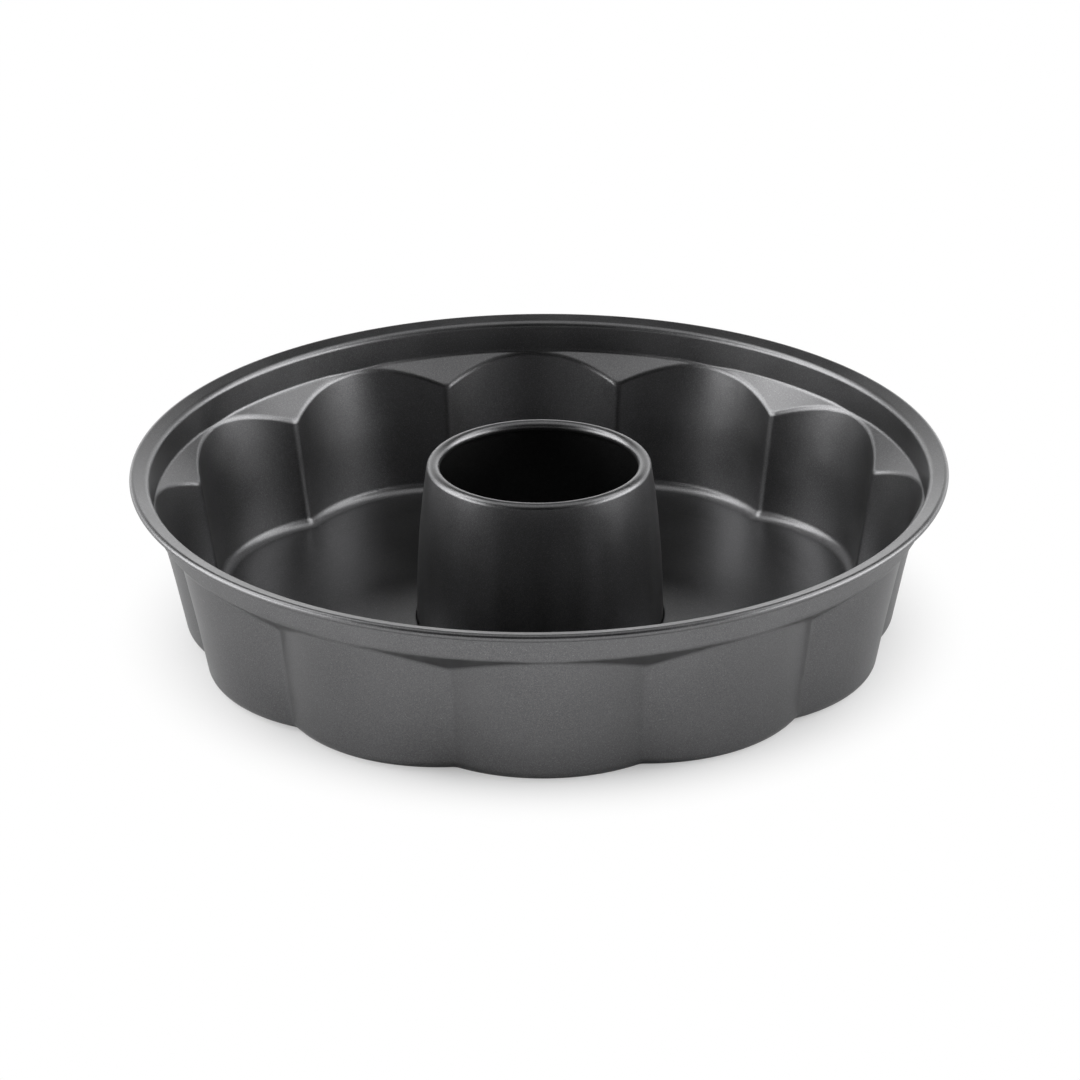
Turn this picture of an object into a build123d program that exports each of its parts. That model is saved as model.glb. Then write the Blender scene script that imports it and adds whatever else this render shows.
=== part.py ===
from build123d import *
import os
from math import atan2, cos, degrees, radians, sin, sqrt, tan

os.makedirs("parts", exist_ok=True)

# The pan as a whole
# Lengths are millimetres and angles degrees.
# The axis is Z, the front is towards -Y, and the pan stands on z = 0.
rim_radius = 130.0
pan_height = 56.3
sheet = 0.5
fit_gap = 0.05

# Rolled rim: a sloping flange, and its edge curled round a wire
wire_diameter = 1.3
flange_width = 6.2
flange_rise = 16.0
rim_bend = 0.5
curl_turn = 290.0

# Wall: a plain round band, a shoulder under it, then the lobes
band_height = 10.2
band_draft = 5.0
shoulder_slope = 40.0
shoulder_bend = 0.7
lobe_count = 12
lobe_inset = 1.0
lobe_depth = 7.3
crest_draft = 11.2
ridge_draft = 8.0
ridge_bend = 2.5
arch_bend = 1.2

# Floor: a flat land under the lobes, then a low crown up to the hole for the tube
floor_bend = 4.0
land_width = 9.3
crown_bend = 40.0
floor_rise = 2.0
hole_bend = 0.3

# Centre tube: hemmed into the floor's hole at its foot, and rolled inwards at its lip
tube_foot_radius = 39.8
hem_lift = 0.25
tube_top_radius = 35.9
lip_drop = 0.2
lip_bend = 1.4
lip_flat = 0.8
lip_edge_bend = 0.7
lip_edge_turn = 190.0

# How far up the round band the two forms reach, and how level an edge counts as an arch
lap_share = 0.35
level_share = 0.5
middle_share = 0.5
half_turn = 180.0

# Heights, slopes and radii that follow from these
half_sheet = sheet / 2
bead_radius = wire_diameter / 2 + fit_gap + sheet
wire_circle_radius = rim_radius - bead_radius
wire_height = pan_height - bead_radius
mouth_radius = rim_radius - flange_width
tube_wall_top = pan_height - lip_drop - lip_bend - sheet
band_run = tan(radians(band_draft))
crest_run = tan(radians(crest_draft))
ridge_run = tan(radians(ridge_draft))
band_reach = 1 / cos(radians(band_draft))
crest_reach = 1 / cos(radians(crest_draft))
shoulder_fall = tan(radians(shoulder_slope))
shoulder_reach = 1 / cos(radians(shoulder_slope))
shoulder_height = wire_height - band_height
join_height = shoulder_height + band_height * lap_share

def band_radius(height):
    """Radius of the round band's inside face at a height."""
    return mouth_radius - (wire_height - height) * band_run

def from_front(radius, angle):
    """A point of a plan, at a radius and at an angle counted from the front of the pan."""
    return (radius * sin(radians(angle)), -radius * cos(radians(angle)))

# Each lobe is an arc of the plan from one ridge to the next, about an axis of its own
half_lobe = half_turn / lobe_count
crest_top = band_radius(shoulder_height) - lobe_inset
ridge_top = crest_top - lobe_depth
ridge_foot = ridge_top - (shoulder_height - sheet) * ridge_run
land_radius = ridge_foot - land_width

def lobe_plan(height, across):
    """The closed line of lobes at a height, a distance outside the inside face."""
    crest = crest_top - (shoulder_height - height) * crest_run
    ridge = ridge_top - (shoulder_height - height) * ridge_run
    axis_radius = (crest**2 - ridge**2) / (2 * (crest - ridge * cos(radians(half_lobe))))
    arc_radius = crest - axis_radius + across
    half_chord = axis_radius * sin(radians(half_lobe))
    reach = axis_radius * cos(radians(half_lobe)) + sqrt(arc_radius**2 - half_chord**2)
    for count in range(lobe_count):
        middle = 2 * half_lobe * count
        ThreePointArc(
            from_front(reach, middle - half_lobe),
            from_front(axis_radius + arc_radius, middle),
            from_front(reach, middle + half_lobe),
        )

def pressed_form(step):
    """The filled shape inside one face of the sheet, up into the round band.

    A step of zero gives the inside face, and a step of one sheet the outside face.
    """
    base_height = sheet - step
    across = step * band_reach
    drop = (step * shoulder_reach - across * shoulder_fall) / (1 - band_run * shoulder_fall)
    corner_height = shoulder_height - drop
    corner_radius = band_radius(corner_height) + across
    cone_radius = ridge_top - lobe_depth
    cone_height = corner_height - (corner_radius - cone_radius) * shoulder_fall

    with BuildPart() as lobes:
        for height in (base_height, join_height):
            with BuildSketch(Plane.XY.offset(height)) as plan:
                with BuildLine():
                    lobe_plan(height, step * crest_reach)
                make_face()
                fillet(plan.vertices(), ridge_bend + sheet - step)
        loft(ruled=True)

    with BuildPart() as form:
        with BuildSketch(Plane.XZ):
            with BuildLine():
                Polyline(
                    (0, join_height),
                    (band_radius(join_height) + across, join_height),
                    (corner_radius, corner_height),
                    (cone_radius, cone_height),
                    (0, cone_height),
                    close=True,
                )
            make_face()
        revolve(axis=Axis.Z)
        add(lobes.part)
        # Arches are the level edges where the lobes cut the shoulder
        cuts = form.edges().filter_by(GeomType.BSPLINE)
        low = cuts.filter_by_position(Axis.Z, cone_height, corner_height)
        arches = low.filter_by(lambda edge: abs(edge.tangent_at(middle_share).Z) < level_share)
        fillet(arches, arch_bend + sheet - step)
        corner = form.edges().filter_by(GeomType.CIRCLE).filter_by_position(
            Axis.Z, corner_height - half_sheet, corner_height + half_sheet
        )
        fillet(corner, shoulder_bend + step)
        fillet(form.faces().sort_by(Axis.Z)[0].edges(), floor_bend + step)
    return form.part

inside_form = pressed_form(0.0)
outside_form = pressed_form(sheet)

# Pan body: the sheet between the two forms, its floor and its rim, all one pressing
leg_height = hem_lift + sheet + fit_gap + half_sheet
leg_radius = tube_foot_radius + fit_gap + half_sheet
flange_along = (cos(radians(flange_rise)), sin(radians(flange_rise)))
bead_middle = bead_radius - half_sheet
flange_end = (
    wire_circle_radius - bead_middle * flange_along[1],
    wire_height + bead_middle * flange_along[0],
)
band_middle = mouth_radius + half_sheet * band_reach
flange_length = (flange_end[0] - band_middle - (flange_end[1] - wire_height) * band_run) / (
    flange_along[0] - flange_along[1] * band_run
)
flange_start = (
    flange_end[0] - flange_length * flange_along[0],
    flange_end[1] - flange_length * flange_along[1],
)

with BuildPart() as pan_body:
    add(outside_form)
    add(inside_form, mode=Mode.SUBTRACT)
    with BuildSketch():
        Circle(land_radius)
    extrude(amount=sheet, mode=Mode.SUBTRACT)
    # Floor inside the land, crowned, with its hole's edge turned down
    with BuildSketch(Plane.XZ):
        with BuildLine():
            FilletPolyline(
                (land_radius, half_sheet),
                (land_radius - floor_bend, half_sheet),
                (leg_radius, half_sheet + floor_rise),
                (leg_radius, leg_height),
                radius=[crown_bend, hole_bend + half_sheet],
            )
        trace(line_width=sheet)
    revolve(axis=Axis.Z)
    # Upper band, flange and curled edge
    with BuildSketch(Plane.XZ):
        with BuildLine():
            flange = FilletPolyline(
                (band_radius(join_height) + half_sheet * band_reach, join_height),
                flange_start,
                flange_end,
                radius=rim_bend + half_sheet,
            )
            JernArc(flange @ 1, flange % 1, bead_middle, -curl_turn)
        trace(line_width=sheet)
    revolve(axis=Axis.Z)
pan_body.part.label = "pan_body"
export_step(pan_body.part, "parts/pan_body.step")

# Rim wire: a plain ring inside the curl
with BuildPart() as rim_wire:
    with BuildSketch(Plane.XZ):
        with Locations((wire_circle_radius, wire_height)):
            Circle(wire_diameter / 2)
    revolve(axis=Axis.Z)
rim_wire.part.label = "rim_wire"
export_step(rim_wire.part, "parts/rim_wire.step")

# Centre tube: hem round the hole's edge, bellied wall, lip rolled inwards
hem_middle = half_sheet + fit_gap + half_sheet
hem_start_height = floor_rise - hole_bend
with BuildPart() as centre_tube:
    with BuildSketch(Plane.XZ):
        with BuildLine():
            hem_leg = Line(
                (leg_radius + hem_middle, hem_start_height),
                (leg_radius + hem_middle, leg_height),
            )
            hem = JernArc(hem_leg @ 1, hem_leg % 1, hem_middle, -half_turn)
            foot = Line(hem @ 1, (leg_radius - hem_middle, sheet + floor_rise))
            wall = TangentArc(foot @ 1, (tube_top_radius - half_sheet, tube_wall_top), tangent=foot % 1)
            heading = degrees(atan2((wall % 1).Y, (wall % 1).X))
            lip = JernArc(wall @ 1, wall % 1, lip_bend + half_sheet, half_turn - heading)
            top = PolarLine(lip @ 1, lip_flat, direction=lip % 1)
            JernArc(top @ 1, top % 1, lip_edge_bend + half_sheet, lip_edge_turn)
        trace(line_width=sheet)
    revolve(axis=Axis.Z)
centre_tube.part.label = "centre_tube"
export_step(centre_tube.part, "parts/centre_tube.step")
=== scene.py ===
from math import atan2, cos, hypot, pi, radians, sin, sqrt, tan

import bpy
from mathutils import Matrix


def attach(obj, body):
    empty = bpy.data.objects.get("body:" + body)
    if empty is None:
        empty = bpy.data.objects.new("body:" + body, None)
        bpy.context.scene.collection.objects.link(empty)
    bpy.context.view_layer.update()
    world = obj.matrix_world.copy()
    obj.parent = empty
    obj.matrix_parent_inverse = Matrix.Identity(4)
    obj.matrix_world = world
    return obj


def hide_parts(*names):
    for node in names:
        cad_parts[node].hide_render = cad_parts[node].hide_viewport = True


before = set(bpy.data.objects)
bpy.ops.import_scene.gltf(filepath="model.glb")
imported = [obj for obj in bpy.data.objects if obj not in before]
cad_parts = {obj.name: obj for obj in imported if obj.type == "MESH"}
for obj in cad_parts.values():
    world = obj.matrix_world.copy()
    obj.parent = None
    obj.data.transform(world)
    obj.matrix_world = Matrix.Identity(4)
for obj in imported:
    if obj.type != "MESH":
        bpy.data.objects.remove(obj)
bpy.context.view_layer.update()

# The pan as a whole
# Lengths are metres and angles degrees.
# The axis is Z, the front is towards -Y, and the pan stands on z = 0.
mm = 0.001
full_turn = 360.0
rim_radius = 130.0 * mm
pan_height = 56.3 * mm
sheet = 0.5 * mm
fit_gap = 0.05 * mm

# Rolled rim: a sloping flange, and its edge curled round a wire
wire_diameter = 1.3 * mm
flange_width = 6.2 * mm
flange_rise = 16.0
rim_bend = 1.8 * mm
curl_turn = 290.0

# Wall: a plain round band, a shoulder under it, then the lobes
band_height = 10.2 * mm
band_draft = 5.0
shoulder_slope = 40.0
shoulder_bend = 1.8 * mm
lobe_count = 12
lobe_inset = 1.0 * mm
lobe_depth = 7.3 * mm
crest_draft = 11.2
ridge_draft = 8.0
ridge_bend = 4.2 * mm
arch_bend = 3.2 * mm

# Knee in the wall, above which it bows out: fully at a crest, and hardly at all at a ridge
knee_drop = 22.0 * mm
knee_bend = 300.0 * mm
crest_flare = 0.7 * mm
least_flare_share = 0.05

# Floor: a flat land under the lobes, then a low crown up to the hole for the tube
floor_bend = 4.0 * mm
land_width = 9.3 * mm
crown_bend = 40.0 * mm
floor_rise = 2.0 * mm
hole_bend = 0.3 * mm

# Centre tube: hemmed into the floor's hole at its foot, and rolled inwards at its lip
tube_foot_radius = 39.8 * mm
hem_lift = 0.25 * mm
tube_top_radius = 35.9 * mm
lip_drop = 0.2 * mm
lip_bend = 1.6 * mm
lip_flat = 0.1 * mm
lip_edge_bend = 1.5 * mm
lip_edge_turn = 140.0

# Mesh steps along the body's section, from the floor's hole out to the rim
body_run_steps = (1, 6, 3, 6, 3, 2, 3, 3)
body_bend_steps = (6, 4, 10, 3, 10, 8, 8)
curl_steps = 26

# Mesh steps round the body: close together within a ridge's reach, wider across a lobe
ridge_reach = 0.95
ridge_steps = 5
lobe_steps = 28

# Mesh steps along the tube's section and round it
tube_run_steps = 2
hem_steps = 12
tube_wall_steps = 32
lip_steps = 12
lip_edge_steps = 20
tube_sides = 240

# Mesh steps round a sheet's cut edge, and how often a slope's search is halved
cut_edge_steps = 4
slope_halvings = 30

# Camera: where it stands, how it is turned, and its lens and sensor in millimetres
camera_place = (-22.89 * mm, -1148.85 * mm, 547.18 * mm)
camera_turn = (65.688, 0.436, -1.345)
camera_lens = 130.761
camera_sensor = 36.0

# Noise: each layer is given as cells to a metre and levels of detail
# Most of a noise lies in its middle range.
middle_range = (0.3, 0.7)

# Coating: colours, noise layers, the ranges in which they show, roughness and bump depths
coat_dark = (0.140, 0.140, 0.143, 1.0)
coat_mid = (0.160, 0.160, 0.163, 1.0)
coat_light = (0.200, 0.200, 0.204, 1.0)
coat_fleck = (0.300, 0.300, 0.300, 1.0)
cloud_noise = (45.0, 4.0)
grain_noise = (2400.0, 2.0)
fleck_noise = (5200.0, 0.0)
peel_noise = (620.0, 2.0)
grain_range = (0.4, 0.75)
fleck_range = (0.68, 0.78)
cloud_roughness = (0.31, 0.37)
grain_roughness = (0.0, 0.04)
peel_depth = 0.020 * mm
grain_depth = 0.002 * mm

# Wire: colours, roughness, noise layers and bump depth
wire_dark = (0.45, 0.45, 0.459, 1.0)
wire_light = (0.62, 0.62, 0.6324, 1.0)
wire_roughness = (0.25, 0.45)
dull_noise = (400.0, 3.0)
drawn_noise = (3000.0, 1.0)
drawn_depth = 0.004 * mm

# Floor: half its side, its white, and the dark grey of the shade painted on it under the pan
floor_half = 6.0
floor_white = (0.92, 0.92, 0.92, 1.0)
# The dark colour is painted shade: the floor under the pan and inside its tube is dark only
# because the pan shades it
floor_painted_shade = (0.05, 0.05, 0.05, 1.0)

# Distances from the axis between which the painted shade under the pan turns pale, the floor looks
# white and it mirrors white
painted_shade_under_pan = (0.070, 0.095)
floor_whitens = (0.085, 0.140)
mirror_whitens = (0.115, 0.28)

# Soft boxes at one distance: name, degrees from the front and up, width, height, radiance
lamp_distance = 2.0
soft_boxes = (
    ("left_side", -90.0, 15.0, 2.2, 1.07, 4.6),
    ("right_side", 88.0, 15.0, 2.2, 1.07, 4.4),
    ("left_high", -105.0, 45.0, 0.9, 1.07, 4.5),
    ("right_high", 100.0, 45.0, 1.1, 1.07, 2.6),
    ("back_wall", 180.0, 15.0, 5.0, 1.07, 1.5),
    ("overhead", 0.0, 90.0, 2.0, 2.0, 0.7),
)

# World: its light at the horizon and above, and the range of a view's rise over which it fades
horizon_light = 1.0
room_light = 0.0
horizon_band = (0.04, 0.12)

# Heights, slopes and radii that follow from the sizes
half_sheet = sheet / 2
bead_radius = wire_diameter / 2 + fit_gap + sheet
bead_middle = bead_radius - half_sheet
wire_circle_radius = rim_radius - bead_radius
wire_height = pan_height - bead_radius
mouth_radius = rim_radius - flange_width
shoulder_height = wire_height - band_height
knee_height = shoulder_height - knee_drop
band_run = tan(radians(band_draft))
crest_run = tan(radians(crest_draft))
ridge_run = tan(radians(ridge_draft))
half_lobe = full_turn / 2 / lobe_count
crest_top = mouth_radius - band_height * band_run - lobe_inset
ridge_top = crest_top - lobe_depth
land_radius = ridge_top - (shoulder_height - sheet) * ridge_run - land_width
leg_radius = tube_foot_radius + fit_gap + half_sheet
leg_height = hem_lift + sheet + fit_gap + half_sheet
hem_middle = sheet + fit_gap
hem_start_height = floor_rise - hole_bend
tube_wall_top = pan_height - lip_drop - lip_bend - sheet

# Corners of the sheet's middle over the shoulder: the band's foot, and the flange's two ends
band_middle = mouth_radius + half_sheet
band_foot = (
    band_middle - band_height * band_run,
    shoulder_height - half_sheet * tan(radians(shoulder_slope / 2)),
)
flange_along = (cos(radians(flange_rise)), sin(radians(flange_rise)))
flange_end = (
    wire_circle_radius - bead_middle * flange_along[1],
    wire_height + bead_middle * flange_along[0],
)
flange_length = (flange_end[0] - band_middle - (flange_end[1] - wire_height) * band_run) / (
    flange_along[0] - flange_along[1] * band_run
)
flange_start = (
    flange_end[0] - flange_length * flange_along[0],
    flange_end[1] - flange_length * flange_along[1],
)


# Profiles: the middle line of a sheet, in the plane of radius and height
class Path:
    """A path of straight runs and arcs, sampled as (radius, height, heading in radians)."""

    def __init__(self, start, heading):
        self.samples = [(start[0], start[1], heading)]

    def run(self, length, steps):
        """Add a straight run along the present heading."""
        radius, height, heading = self.samples[-1]
        for step in range(1, steps + 1):
            along = length * step / steps
            self.samples.append(
                (radius + along * cos(heading), height + along * sin(heading), heading)
            )

    def arc(self, bend, turn, steps):
        """Add an arc of a bend's radius, tangent to the heading; a positive turn goes left."""
        radius, height, heading = self.samples[-1]
        reach = bend if turn > 0 else -bend
        centre = (radius - reach * sin(heading), height + reach * cos(heading))
        for step in range(1, steps + 1):
            now = heading + turn * step / steps
            self.samples.append((centre[0] + reach * sin(now), centre[1] - reach * cos(now), now))


def rounded_path(corners, bends, run_steps, bend_steps):
    """A Path through corners, with each inner corner rounded by its bend's radius."""
    sides = [(b[0] - a[0], b[1] - a[1]) for a, b in zip(corners, corners[1:])]
    headings = [atan2(up, out) for out, up in sides]
    lengths = [hypot(out, up) for out, up in sides]
    path = Path(corners[0], headings[0])
    used = 0.0
    for i, bend in enumerate(bends):
        turn = (headings[i + 1] - headings[i] + pi) % (2 * pi) - pi
        cut = bend * tan(abs(turn) / 2)
        path.run(lengths[i] - used - cut, run_steps[i])
        path.arc(bend, turn, bend_steps[i])
        used = cut
    path.run(lengths[-1] - used, run_steps[-1])
    return path


def face_point(sample, turned):
    """The point half a sheet from a sample, at an angle from its heading, with its normal.

    It is given as (radius, height, normal's radius part, normal's height part).
    """
    radius, height, heading = sample
    way = heading + turned
    return (radius + half_sheet * cos(way), height + half_sheet * sin(way), cos(way), sin(way))


def sheet_section(path):
    """The closed section of a sheet whose middle is the path, its cut edges rounded."""
    samples = path.samples
    edge_turns = [pi * step / cut_edge_steps for step in range(1, cut_edge_steps)]
    right = [face_point(sample, -pi / 2) for sample in samples]
    far_edge = [face_point(samples[-1], turn - pi / 2) for turn in edge_turns]
    left = [face_point(sample, pi / 2) for sample in reversed(samples)]
    near_edge = [face_point(samples[0], turn + pi / 2) for turn in edge_turns]
    return right + far_edge + left + near_edge


def lobe_radius(height, angle):
    """Radius of the middle of the wall's sheet, at a height and at degrees from the front.

    Each lobe is an arc about an axis of its own, and each ridge an arc that touches both lobes.
    """
    crest = crest_top - (shoulder_height - height) * crest_run
    ridge = ridge_top - (shoulder_height - height) * ridge_run
    half = radians(half_lobe)
    lobe_axis = (crest**2 - ridge**2) / (2 * (crest - ridge * cos(half)))
    lobe_arc = crest - lobe_axis + half_sheet
    ridge_arc = ridge_bend + half_sheet
    across, along = lobe_axis * sin(half), lobe_axis * cos(half)
    ridge_axis = along + sqrt((lobe_arc + ridge_arc) ** 2 - across**2)
    # How far from the ridge's line the two arcs touch, as an angle
    touch_share = lobe_arc / (lobe_arc + ridge_arc)
    touch = atan2(
        across * (1 - touch_share), along * (1 - touch_share) + ridge_axis * touch_share
    )
    from_crest = radians(abs((angle + half_lobe) % (2 * half_lobe) - half_lobe))
    from_ridge = half - from_crest
    if from_ridge < touch:
        aside = ridge_axis * sin(from_ridge)
        return ridge_axis * cos(from_ridge) - sqrt(ridge_arc**2 - aside**2)
    aside = lobe_axis * sin(from_crest)
    return lobe_axis * cos(from_crest) + sqrt(lobe_arc**2 - aside**2)


def arch_corner(knee, wall_run):
    """Where the wall, run up from its knee, meets the shoulder, run down from the band's foot.

    Near a crest the shoulder is short, so it gets steeper until both its bends fit on it.
    """
    wall_slope, band_slope = atan2(1, wall_run), atan2(1, band_run)
    gentle = slope = radians(shoulder_slope)
    steep = wall_slope
    for _ in range(slope_halvings):
        run = cos(slope) / sin(slope)
        drop = (band_foot[0] - knee[0] - (band_foot[1] - knee[1]) * wall_run) / (run - wall_run)
        cuts = (arch_bend + half_sheet) * tan((wall_slope - slope) / 2)
        cuts += (shoulder_bend + half_sheet) * tan((band_slope - slope) / 2)
        if drop / sin(slope) > cuts:
            steep = slope
        else:
            gentle = slope
        if steep == gentle:
            break
        slope = (gentle + steep) / 2
    return (band_foot[0] - drop * run, band_foot[1] - drop)


def body_path(angle):
    """The middle of the body's sheet at degrees from the front: floor, wall, flange and curl."""
    low = lobe_radius(half_sheet, angle)
    high = lobe_radius(shoulder_height, angle)
    wall_run = (high - low) / (shoulder_height - half_sheet)
    knee = (low + (knee_height - half_sheet) * wall_run, knee_height)
    flare_share = max(least_flare_share, (high - half_sheet - ridge_top) / lobe_depth)
    upper_run = wall_run + crest_flare * flare_share**2 / knee_drop
    corners = [
        (leg_radius, leg_height),
        (leg_radius, half_sheet + floor_rise),
        (land_radius - floor_bend, half_sheet),
        (low, half_sheet),
        knee,
        arch_corner(knee, upper_run),
        band_foot,
        flange_start,
        flange_end,
    ]
    bends = [
        hole_bend + half_sheet,
        crown_bend,
        floor_bend + half_sheet,
        knee_bend,
        arch_bend + half_sheet,
        shoulder_bend + half_sheet,
        rim_bend + half_sheet,
    ]
    path = rounded_path(corners, bends, body_run_steps, body_bend_steps)
    path.arc(bead_middle, -radians(curl_turn), curl_steps)
    return path


def tube_path():
    """The middle of the centre tube's sheet: hem, foot, bellied wall and rolled lip."""
    path = Path((leg_radius + hem_middle, hem_start_height), -pi / 2)
    path.run(hem_start_height - leg_height, tube_run_steps)
    path.arc(hem_middle, -pi, hem_steps)
    path.run(sheet + floor_rise - leg_height, tube_run_steps)
    # The wall is one arc that leaves the foot upright
    foot_radius, foot_height, _ = path.samples[-1]
    across = foot_radius - (tube_top_radius - half_sheet)
    up = tube_wall_top - foot_height
    turn = 2 * atan2(across, up)
    path.arc(hypot(across, up) / (2 * sin(turn / 2)), turn, tube_wall_steps)
    path.arc(lip_bend + half_sheet, pi / 2 - turn, lip_steps)
    path.run(lip_flat, tube_run_steps)
    path.arc(lip_edge_bend + half_sheet, radians(lip_edge_turn), lip_edge_steps)
    return path


def body_angles():
    """Angles round the body in degrees, close together where a ridge turns."""
    wide = 2 * (half_lobe - ridge_reach)
    angles = []
    for lobe in range(lobe_count):
        ridge = (2 * lobe - 1) * half_lobe
        angles += [ridge + ridge_reach * i / ridge_steps for i in range(-ridge_steps, ridge_steps)]
        angles += [ridge + ridge_reach + wide * i / lobe_steps for i in range(lobe_steps)]
    return angles


def swept_ring(name, section_at, angles):
    """A closed ring swept about Z through its sections, with its true normals."""
    rings = [section_at(angle) for angle in angles]
    count, size = len(rings), len(rings[0])
    points, normals, faces = [], [], []
    for i, ring in enumerate(rings):
        following = (i + 1) % count
        angle = radians(angles[i])
        out = (sin(angle), -cos(angle))
        side = (cos(angle), sin(angle))
        span = radians((angles[following] - angles[i - 1]) % full_turn)
        for (radius, height, normal_out, normal_up), before, after in zip(
            ring, rings[i - 1], rings[following]
        ):
            points.append((radius * out[0], radius * out[1], height))
            # How far the surface moves along its section's normal for each radian turned
            slide = (
                (after[0] - before[0]) * normal_out + (after[1] - before[1]) * normal_up
            ) / span
            normal_side = -slide / radius
            length = sqrt(1 + normal_side**2)
            normals.append(
                (
                    (normal_out * out[0] + normal_side * side[0]) / length,
                    (normal_out * out[1] + normal_side * side[1]) / length,
                    normal_up / length,
                )
            )
        this_start, next_start = i * size, following * size
        for j in range(size):
            k = (j + 1) % size
            faces.append((this_start + j, next_start + j, next_start + k, this_start + k))
    mesh = bpy.data.meshes.new(name)
    mesh.from_pydata(points, [], faces)
    mesh.update()
    mesh.polygons.foreach_set("use_smooth", [True] * len(mesh.polygons))
    mesh.normals_split_custom_set_from_vertices(normals)
    obj = bpy.data.objects.new(name, mesh)
    bpy.context.scene.collection.objects.link(obj)
    return obj


# Materials
# A Mix node lists its colour sockets after those for numbers and vectors.
mix_colours = (6, 7)
mix_result = 2


class Shader:
    """A material's node tree, with short calls to add nodes and join them."""

    def __init__(self, name):
        self.material = bpy.data.materials.new(name)
        self.material.use_nodes = True
        self.tree = self.material.node_tree
        self.tree.nodes.clear()
        self.where = self.node("TexCoord").outputs["Object"]

    def node(self, kind, **settings):
        """A new node, its own settings given by name."""
        made = self.tree.nodes.new("ShaderNode" + kind)
        for key, value in settings.items():
            setattr(made, key, value)
        return made

    def join(self, out, into):
        """A link from one node's output into another's input."""
        self.tree.links.new(out, into)

    def noise(self, scale, detail):
        """Noise in the object's own space, at cells to a metre and levels of detail."""
        made = self.node("TexNoise")
        made.inputs["Scale"].default_value = scale
        made.inputs["Detail"].default_value = detail
        self.join(self.where, made.inputs["Vector"])
        return made.outputs["Fac"]

    def remap(self, value, old, new=(0.0, 1.0), interpolation="LINEAR"):
        """A value's old range stretched to a new one, and held at its ends."""
        made = self.node("MapRange", interpolation_type=interpolation)
        made.inputs["From Min"].default_value, made.inputs["From Max"].default_value = old
        made.inputs["To Min"].default_value, made.inputs["To Max"].default_value = new
        self.join(value, made.inputs["Value"])
        return made.outputs["Result"]

    def mixed(self, share, first, second):
        """A colour between two, either of them a colour or another node's output."""
        made = self.node("Mix", data_type="RGBA")
        self.join(share, made.inputs["Factor"])
        for place, colour in zip(mix_colours, (first, second)):
            if isinstance(colour, tuple):
                made.inputs[place].default_value = colour
            else:
                self.join(colour, made.inputs[place])
        return made.outputs[mix_result]

    def math(self, operation, first, second):
        """The result of one operation on two values."""
        made = self.node("Math", operation=operation)
        self.join(first, made.inputs[0])
        self.join(second, made.inputs[1])
        return made.outputs["Value"]

    def bumps(self, *layers):
        """A normal from layers of height, each with its depth in metres."""
        normal = None
        for height, depth in layers:
            made = self.node("Bump")
            made.inputs["Distance"].default_value = depth
            self.join(height, made.inputs["Height"])
            if normal:
                self.join(normal, made.inputs["Normal"])
            normal = made.outputs["Normal"]
        return normal

    def metal(self, colour, roughness, normal):
        """A metal surface whose colour, roughness and normal come from nodes."""
        made = self.node("BsdfPrincipled")
        made.inputs["Metallic"].default_value = 1.0
        self.join(colour, made.inputs["Base Color"])
        self.join(roughness, made.inputs["Roughness"])
        self.join(normal, made.inputs["Normal"])
        return made.outputs["BSDF"]

    def finish(self, surface):
        """The material, once its surface is joined to its output."""
        self.join(surface, self.node("OutputMaterial").inputs["Surface"])
        return self.material


def coating():
    """Dark satin non-stick coating: clouded, grained, flecked, with a slight orange peel."""
    shader = Shader("coating")
    cloud = shader.noise(*cloud_noise)
    grain = shader.noise(*grain_noise)
    fleck = shader.noise(*fleck_noise)
    peel = shader.noise(*peel_noise)
    colour = shader.mixed(shader.remap(cloud, middle_range), coat_dark, coat_mid)
    colour = shader.mixed(shader.remap(grain, grain_range), colour, coat_light)
    colour = shader.mixed(shader.remap(fleck, fleck_range), colour, coat_fleck)
    cloudy = shader.remap(cloud, middle_range, cloud_roughness)
    grainy = shader.remap(grain, middle_range, grain_roughness)
    roughness = shader.math("ADD", cloudy, grainy)
    normal = shader.bumps((peel, peel_depth), (grain, grain_depth))
    return shader.finish(shader.metal(colour, roughness, normal))


def drawn_wire():
    """Bright drawn steel wire, unevenly dulled, with a fine grain."""
    shader = Shader("wire")
    dull = shader.noise(*dull_noise)
    colour = shader.mixed(dull, wire_dark, wire_light)
    roughness = shader.remap(dull, middle_range, wire_roughness)
    normal = shader.bumps((shader.noise(*drawn_noise), drawn_depth))
    return shader.finish(shader.metal(colour, roughness, normal))


def pale_floor():
    """Pale floor: painted shade under the pan, its own shade near it, and plain white further off.
    """
    shader = Shader("floor")
    from_axis = shader.node("VectorMath", operation="LENGTH")
    shader.join(shader.where, from_axis.inputs[0])
    distance = from_axis.outputs["Value"]
    shaded = shader.node("BsdfDiffuse")
    # Painted shade: the floor's colour turns dark under the pan, where the pan shades it
    colour = shader.mixed(shader.remap(distance, painted_shade_under_pan), floor_painted_shade, floor_white)
    shader.join(colour, shaded.inputs["Color"])
    # How white the floor turns, as the camera sees it and as the pan mirrors it
    rays = shader.node("LightPath").outputs
    seen_white = shader.remap(distance, floor_whitens, interpolation="SMOOTHSTEP")
    seen = shader.math("MULTIPLY", rays["Is Camera Ray"], seen_white)
    mirror_ray = shader.math("MAXIMUM", rays["Is Glossy Ray"], rays["Is Transmission Ray"])
    mirrored = shader.math("MULTIPLY", mirror_ray, shader.remap(distance, mirror_whitens))
    mix = shader.node("MixShader")
    shader.join(shader.math("MAXIMUM", seen, mirrored), mix.inputs["Fac"])
    shader.join(shaded.outputs["BSDF"], mix.inputs[1])
    shader.join(shader.node("Emission").outputs["Emission"], mix.inputs[2])
    return shader.finish(mix.outputs["Shader"])


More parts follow.
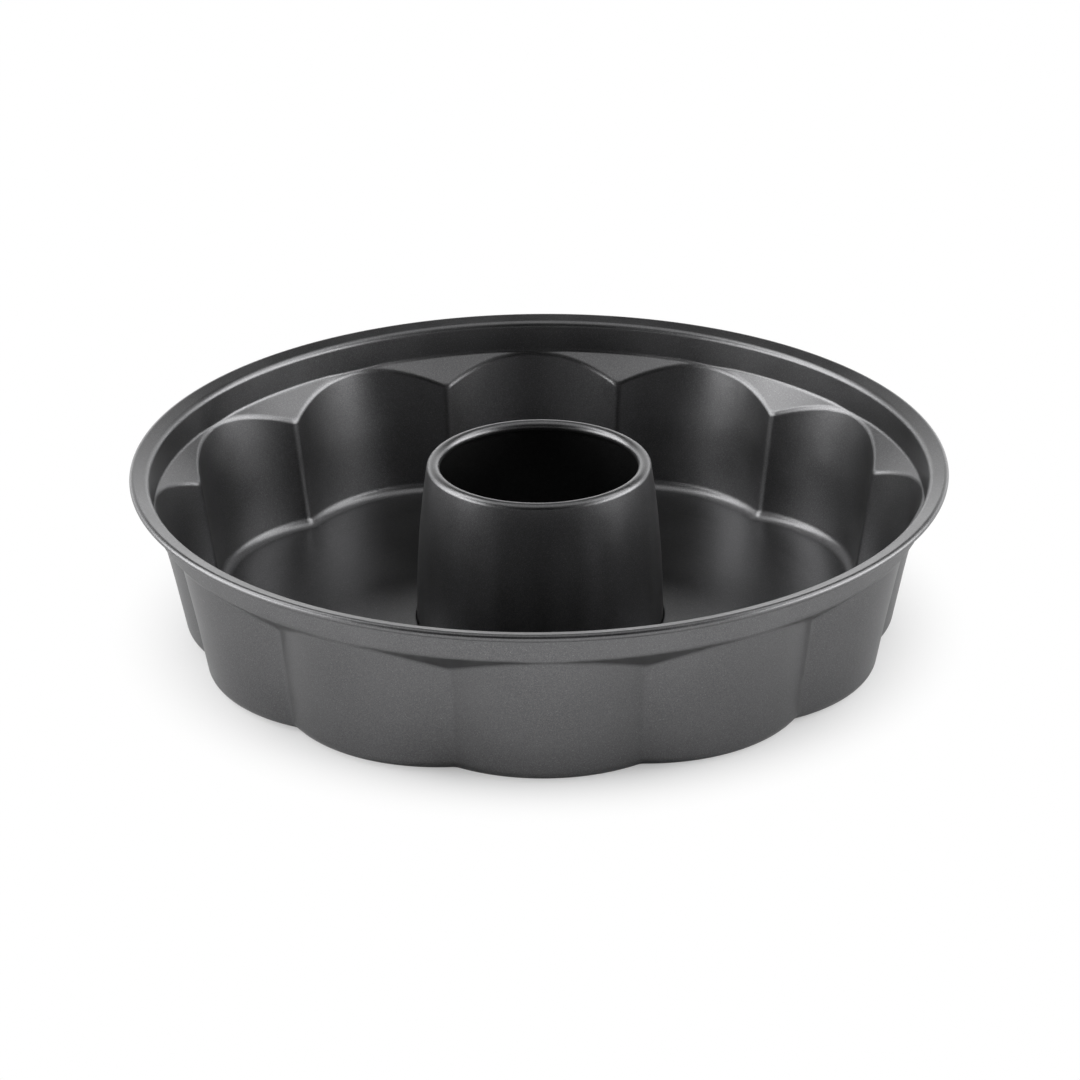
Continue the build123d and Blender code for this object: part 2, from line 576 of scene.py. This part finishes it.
# The pan
pan = swept_ring(
    "pan_body_shell", lambda angle: sheet_section(body_path(angle)), body_angles()
)
tube_section = sheet_section(tube_path())
tube_angles = [full_turn * i / tube_sides for i in range(tube_sides)]
tube = swept_ring("centre_tube_shell", lambda angle: tube_section, tube_angles)
coat = coating()
for piece, node in ((pan, "pan_body"), (tube, "centre_tube")):
    piece.data.materials.append(coat)
    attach(piece, "root")
    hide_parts(node)
steel = drawn_wire()
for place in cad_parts["rim_wire"].material_slots:
    place.material = steel

# Floor
bpy.ops.mesh.primitive_plane_add(size=2 * floor_half, location=(0.0, 0.0, 0.0))
floor = bpy.context.object
floor.name = "floor"
floor.data.materials.append(pale_floor())


# Lights
def soft_box(name, azimuth, elevation, width, height, radiance):
    """A soft panel at degrees from the front and up, facing the pan, unseen by the camera."""
    across = lamp_distance * cos(radians(elevation))
    data = bpy.data.lights.new(name, "AREA")
    data.shape = "RECTANGLE"
    data.size = width
    data.size_y = height
    # A lamp of even radiance sends out pi times as much power from each square metre
    data.energy = radiance * pi * width * height
    lamp = bpy.data.objects.new(name, data)
    lamp.location = (
        across * sin(radians(azimuth)),
        -across * cos(radians(azimuth)),
        lamp_distance * sin(radians(elevation)),
    )
    lamp.rotation_euler = (radians(full_turn / 4 - elevation), 0.0, radians(azimuth))
    lamp.visible_camera = False
    bpy.context.scene.collection.objects.link(lamp)


for box in soft_boxes:
    soft_box(*box)


def studio_world():
    """A dark room, pale only near the horizon, where the floor runs on into it."""
    world = bpy.data.worlds.new("studio")
    world.use_nodes = True
    nodes, links = world.node_tree.nodes, world.node_tree.links
    way = nodes.new("ShaderNodeSeparateXYZ")
    links.new(nodes.new("ShaderNodeTexCoord").outputs["Generated"], way.inputs["Vector"])
    fade = nodes.new("ShaderNodeMapRange")
    fade.interpolation_type = "SMOOTHSTEP"
    fade.inputs["From Min"].default_value, fade.inputs["From Max"].default_value = horizon_band
    fade.inputs["To Min"].default_value = horizon_light
    fade.inputs["To Max"].default_value = room_light
    links.new(way.outputs["Z"], fade.inputs["Value"])
    background = nodes["Background"]
    background.inputs["Color"].default_value = (1.0, 1.0, 1.0, 1.0)
    links.new(fade.outputs["Result"], background.inputs["Strength"])
    return world


bpy.context.scene.world = studio_world()

# Camera
lens = bpy.data.cameras.new("camera")
lens.sensor_width = camera_sensor
lens.lens = camera_lens
camera = bpy.data.objects.new("camera", lens)
camera.location = camera_place
camera.rotation_euler = [radians(turn) for turn in camera_turn]
bpy.context.scene.collection.objects.link(camera)
bpy.context.scene.camera = camera
bpy.context.scene.view_settings.view_transform = "Standard"
